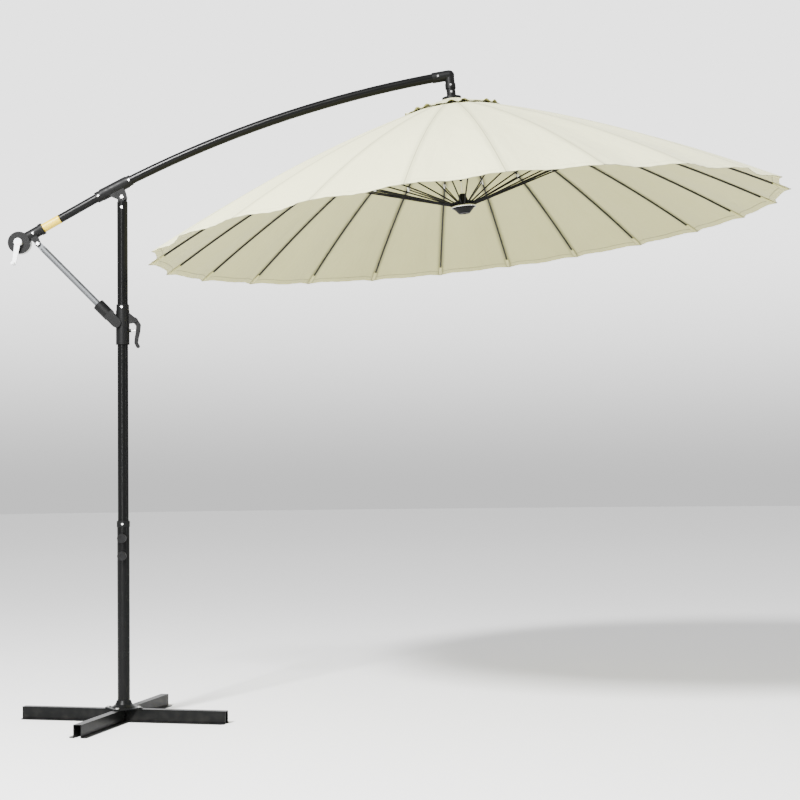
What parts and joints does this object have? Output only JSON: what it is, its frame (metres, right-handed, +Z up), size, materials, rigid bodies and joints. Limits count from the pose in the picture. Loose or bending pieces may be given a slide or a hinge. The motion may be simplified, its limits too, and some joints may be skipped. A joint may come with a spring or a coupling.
{
  "type": "cantilever parasol",
  "caption": "Cantilever parasol: round canopy on hinged ribs, hung from a curved arm on a slim pole with a cross base; crank, strut and sliding clamp.",
  "frame": {"origin": "floor, under the axis of the pole", "axes": "+Z up, +X along the arm toward the canopy, -Y the side of the crank handle and the pole knobs"},
  "size_m": [3.0421, 2.4922, 2.5379],
  "materials": {
    "base_steel": "black powder coat, satin",
    "pole_steel": "black powder coat, semi-gloss",
    "arm_tube": "black powder coat, satin",
    "strut_metal": "mid grey satin coat",
    "fasteners": "zinc plated",
    "black_plastic": "moulded, satin",
    "housing_cover": "moulded, pale grey",
    "crank_white": "moulded, white gloss",
    "cover_fabric": "woven polyester, natural cream",
    "cord_white": "braided cord",
    "rib_rod": "glass-fibre rod, dark"
  },
  "bodies": {
    "base": {"long_leg_bar": "base_steel", "cross_leg_bar": "base_steel", "foot_plate": "base_steel", "foot_bolts": "fasteners", "lower_pole": "pole_steel", "joint_collar": "black_plastic", "upper_pole": "pole_steel", "pole_head": "black_plastic", "pole_pins": "fasteners", "stop_collar": "black_plastic"},
    "arm": {"arm_rear_tube": "arm_tube", "pivot_sleeve": "black_plastic", "arm_pins": "fasteners", "arm_front_tube": "arm_tube", "crank_housing_front": "black_plastic", "crank_housing_back": "housing_cover", "strut_lug": "fasteners", "elbow": "black_plastic", "canopy_post": "arm_tube", "canopy_disc": "black_plastic", "rib_hub": "black_plastic", "lift_cord": "cord_white", "canopy": "cover_fabric", "vent_cap": "cover_fabric"},
    "upper_knob": {"knob_upper": "black_plastic"},
    "lower_knob": {"knob_lower": "black_plastic"},
    "slider": {"slider_body": "black_plastic"},
    "lever": {"clamp_lever": "black_plastic"},
    "plunger": {"lock_plunger": "fasteners"},
    "strut": {"strut_tube": "strut_metal", "strut_fork": "black_plastic"},
    "crank": {"crank_handle": "crank_white", "cord_drum": "black_plastic"},
    "grip": {"crank_grip": "crank_white"},
    "runner_set": {"runner": "black_plastic", "stretchers": "rib_rod"},
    "rib_01_body": {"rib_01": "rib_rod"},
    "rib_02_body": {"rib_02": "rib_rod"},
    "rib_03_body": {"rib_03": "rib_rod"},
    "rib_04_body": {"rib_04": "rib_rod"},
    "rib_05_body": {"rib_05": "rib_rod"},
    "rib_06_body": {"rib_06": "rib_rod"},
    "rib_07_body": {"rib_07": "rib_rod"},
    "rib_08_body": {"rib_08": "rib_rod"},
    "rib_09_body": {"rib_09": "rib_rod"},
    "rib_10_body": {"rib_10": "rib_rod"},
    "rib_11_body": {"rib_11": "rib_rod"},
    "rib_12_body": {"rib_12": "rib_rod"},
    "rib_13_body": {"rib_13": "rib_rod"},
    "rib_14_body": {"rib_14": "rib_rod"},
    "rib_15_body": {"rib_15": "rib_rod"},
    "rib_16_body": {"rib_16": "rib_rod"},
    "rib_17_body": {"rib_17": "rib_rod"},
    "rib_18_body": {"rib_18": "rib_rod"},
    "rib_19_body": {"rib_19": "rib_rod"},
    "rib_20_body": {"rib_20": "rib_rod"},
    "rib_21_body": {"rib_21": "rib_rod"},
    "rib_22_body": {"rib_22": "rib_rod"},
    "rib_23_body": {"rib_23": "rib_rod"},
    "rib_24_body": {"rib_24": "rib_rod"}
  },
  "joints": [
    {"name": "arm_tilt", "type": "hinge", "parent": "base", "child": "arm", "pos_m": [0, 0, 2.0456], "axis": [0, -1, 0], "range_deg": [0, 12]},
    {"name": "slider_slide", "type": "slide", "parent": "base", "child": "slider", "axis": [0, 0, 1], "range_m": [-0.1045, 0]},
    {"name": "strut_pivot", "type": "hinge", "parent": "slider", "child": "strut", "pos_m": [-0.021, 0, 1.5475], "axis": [0, -1, 0], "range_deg": [-7.6, 0]},
    {"name": "lever_pull", "type": "hinge", "parent": "slider", "child": "lever", "pos_m": [0.0473, 0, 1.5598], "axis": [0, -1, 0], "range_deg": [0, 12], "stiffness_Nm_per_rad": 1.2, "springref_deg": -14.32},
    {"name": "plunger_slide", "type": "slide", "parent": "slider", "child": "plunger", "axis": [1, 0, 0], "range_m": [0, 0.0087]},
    {"name": "upper_knob_turn", "type": "hinge", "parent": "base", "child": "upper_knob", "pos_m": [0, -0.036, 0.707], "axis": [0, -1, 0], "continuous": true},
    {"name": "lower_knob_turn", "type": "hinge", "parent": "base", "child": "lower_knob", "pos_m": [0, -0.036, 0.639], "axis": [0, -1, 0], "continuous": true},
    {"name": "runner_slide", "type": "slide", "parent": "arm", "child": "runner_set", "axis": [-0.0964, 0, 0.9953], "range_m": [-0.8002, 0], "deforming": ["stretchers", "canopy", "vent_cap", "lift_cord"]},
    {"name": "crank_turn", "type": "hinge", "parent": "arm", "child": "crank", "pos_m": [-0.40402, 0, 1.86866], "axis": [0, 1, 0], "range_deg": [-2780.7, 0]},
    {"name": "grip_spin", "type": "hinge", "parent": "crank", "child": "grip", "pos_m": [-0.419, -0.05, 1.78194], "axis": [0, -1, 0], "continuous": true},
    {"name": "rib_01_fold", "type": "hinge", "parent": "arm", "child": "rib_01_body", "pos_m": [1.26296, -0.00249, 2.40132], "axis": [0.059, -0.9982, 0.0057], "range_deg": [0, 64.54]},
    {"name": "rib_02_fold", "type": "hinge", "parent": "arm", "child": "rib_02_body", "pos_m": [1.26503, -0.01326, 2.40152], "axis": [0.3142, -0.9489, 0.0304], "range_deg": [0, 64.54]},
    {"name": "rib_03_fold", "type": "hinge", "parent": "arm", "child": "rib_03_body", "pos_m": [1.26979, -0.02312, 2.40199], "axis": [0.5479, -0.8348, 0.053], "range_deg": [0, 64.54]},
    {"name": "rib_04_fold", "type": "hinge", "parent": "arm", "child": "rib_04_body", "pos_m": [1.27694, -0.03141, 2.40268], "axis": [0.7443, -0.6639, 0.0721], "range_deg": [0, 64.54]},
    {"name": "rib_05_fold", "type": "hinge", "parent": "arm", "child": "rib_05_body", "pos_m": [1.28597, -0.03755, 2.40355], "axis": [0.89, -0.4478, 0.0862], "range_deg": [0, 64.54]},
    {"name": "rib_06_fold", "type": "hinge", "parent": "arm", "child": "rib_06_body", "pos_m": [1.29629, -0.04114, 2.40455], "axis": [0.975, -0.2011, 0.0944], "range_deg": [0, 64.54]},
    {"name": "rib_07_fold", "type": "hinge", "parent": "arm", "child": "rib_07_body", "pos_m": [1.30717, -0.04193, 2.4056], "axis": [0.9936, 0.0593, 0.0962], "range_deg": [0, 64.54]},
    {"name": "rib_08_fold", "type": "hinge", "parent": "arm", "child": "rib_08_body", "pos_m": [1.31789, -0.03985, 2.40664], "axis": [0.9445, 0.3156, 0.0914], "range_deg": [0, 64.54]},
    {"name": "rib_09_fold", "type": "hinge", "parent": "arm", "child": "rib_09_body", "pos_m": [1.3277, -0.03506, 2.40759], "axis": [0.831, 0.5505, 0.0805], "range_deg": [0, 64.54]},
    {"name": "rib_10_fold", "type": "hinge", "parent": "arm", "child": "rib_10_body", "pos_m": [1.33595, -0.02789, 2.40839], "axis": [0.6608, 0.7478, 0.064], "range_deg": [0, 64.54]},
    {"name": "rib_11_fold", "type": "hinge", "parent": "arm", "child": "rib_11_body", "pos_m": [1.34207, -0.01881, 2.40898], "axis": [0.4457, 0.8942, 0.0431], "range_deg": [0, 64.54]},
    {"name": "rib_12_fold", "type": "hinge", "parent": "arm", "child": "rib_12_body", "pos_m": [1.34564, -0.00844, 2.40933], "axis": [0.2001, 0.9796, 0.0194], "range_deg": [0, 64.54]},
    {"name": "rib_13_fold", "type": "hinge", "parent": "arm", "child": "rib_13_body", "pos_m": [1.34642, 0.00249, 2.40941], "axis": [-0.059, 0.9982, -0.0057], "range_deg": [0, 64.54]},
    {"name": "rib_14_fold", "type": "hinge", "parent": "arm", "child": "rib_14_body", "pos_m": [1.34436, 0.01326, 2.40921], "axis": [-0.3142, 0.9489, -0.0304], "range_deg": [0, 64.54]},
    {"name": "rib_15_fold", "type": "hinge", "parent": "arm", "child": "rib_15_body", "pos_m": [1.33959, 0.02312, 2.40874], "axis": [-0.5479, 0.8348, -0.053], "range_deg": [0, 64.54]},
    {"name": "rib_16_fold", "type": "hinge", "parent": "arm", "child": "rib_16_body", "pos_m": [1.33245, 0.03141, 2.40805], "axis": [-0.7443, 0.6639, -0.0721], "range_deg": [0, 64.54]},
    {"name": "rib_17_fold", "type": "hinge", "parent": "arm", "child": "rib_17_body", "pos_m": [1.32341, 0.03755, 2.40718], "axis": [-0.89, 0.4478, -0.0862], "range_deg": [0, 64.54]},
    {"name": "rib_18_fold", "type": "hinge", "parent": "arm", "child": "rib_18_body", "pos_m": [1.3131, 0.04114, 2.40618], "axis": [-0.975, 0.2011, -0.0944], "range_deg": [0, 64.54]},
    {"name": "rib_19_fold", "type": "hinge", "parent": "arm", "child": "rib_19_body", "pos_m": [1.30221, 0.04193, 2.40512], "axis": [-0.9936, -0.0593, -0.0962], "range_deg": [0, 64.54]},
    {"name": "rib_20_fold", "type": "hinge", "parent": "arm", "child": "rib_20_body", "pos_m": [1.2915, 0.03985, 2.40409], "axis": [-0.9445, -0.3156, -0.0914], "range_deg": [0, 64.54]},
    {"name": "rib_21_fold", "type": "hinge", "parent": "arm", "child": "rib_21_body", "pos_m": [1.28168, 0.03506, 2.40314], "axis": [-0.831, -0.5505, -0.0805], "range_deg": [0, 64.54]},
    {"name": "rib_22_fold", "type": "hinge", "parent": "arm", "child": "rib_22_body", "pos_m": [1.27343, 0.02789, 2.40234], "axis": [-0.6608, -0.7478, -0.064], "range_deg": [0, 64.54]},
    {"name": "rib_23_fold", "type": "hinge", "parent": "arm", "child": "rib_23_body", "pos_m": [1.26731, 0.01881, 2.40175], "axis": [-0.4457, -0.8942, -0.0431], "range_deg": [0, 64.54]},
    {"name": "rib_24_fold", "type": "hinge", "parent": "arm", "child": "rib_24_body", "pos_m": [1.26374, 0.00844, 2.4014], "axis": [-0.2001, -0.9796, -0.0194], "range_deg": [0, 64.54]}
  ],
  "couplings": [
    {"joint": "slider_slide", "follows": "arm_tilt", "m_per_rad": -0.49791},
    {"joint": "strut_pivot", "follows": "arm_tilt", "ratio": -0.62956},
    {"joint": "plunger_slide", "follows": "lever_pull", "m_per_rad": 0.041},
    {"joint": "crank_turn", "follows": "runner_slide", "rad_per_m": 60.606},
    {"joint": "rib_01_fold", "follows": "runner_slide", "rad_per_m": -1.4055},
    {"joint": "rib_02_fold", "follows": "runner_slide", "rad_per_m": -1.4055},
    {"joint": "rib_03_fold", "follows": "runner_slide", "rad_per_m": -1.4055},
    {"joint": "rib_04_fold", "follows": "runner_slide", "rad_per_m": -1.4055},
    {"joint": "rib_05_fold", "follows": "runner_slide", "rad_per_m": -1.4055},
    {"joint": "rib_06_fold", "follows": "runner_slide", "rad_per_m": -1.4055},
    {"joint": "rib_07_fold", "follows": "runner_slide", "rad_per_m": -1.4055},
    {"joint": "rib_08_fold", "follows": "runner_slide", "rad_per_m": -1.4055},
    {"joint": "rib_09_fold", "follows": "runner_slide", "rad_per_m": -1.4055},
    {"joint": "rib_10_fold", "follows": "runner_slide", "rad_per_m": -1.4055},
    {"joint": "rib_11_fold", "follows": "runner_slide", "rad_per_m": -1.4055},
    {"joint": "rib_12_fold", "follows": "runner_slide", "rad_per_m": -1.4055},
    {"joint": "rib_13_fold", "follows": "runner_slide", "rad_per_m": -1.4055},
    {"joint": "rib_14_fold", "follows": "runner_slide", "rad_per_m": -1.4055},
    {"joint": "rib_15_fold", "follows": "runner_slide", "rad_per_m": -1.4055},
    {"joint": "rib_16_fold", "follows": "runner_slide", "rad_per_m": -1.4055},
    {"joint": "rib_17_fold", "follows": "runner_slide", "rad_per_m": -1.4055},
    {"joint": "rib_18_fold", "follows": "runner_slide", "rad_per_m": -1.4055},
    {"joint": "rib_19_fold", "follows": "runner_slide", "rad_per_m": -1.4055},
    {"joint": "rib_20_fold", "follows": "runner_slide", "rad_per_m": -1.4055},
    {"joint": "rib_21_fold", "follows": "runner_slide", "rad_per_m": -1.4055},
    {"joint": "rib_22_fold", "follows": "runner_slide", "rad_per_m": -1.4055},
    {"joint": "rib_23_fold", "follows": "runner_slide", "rad_per_m": -1.4055},
    {"joint": "rib_24_fold", "follows": "runner_slide", "rad_per_m": -1.4055}
  ]
}
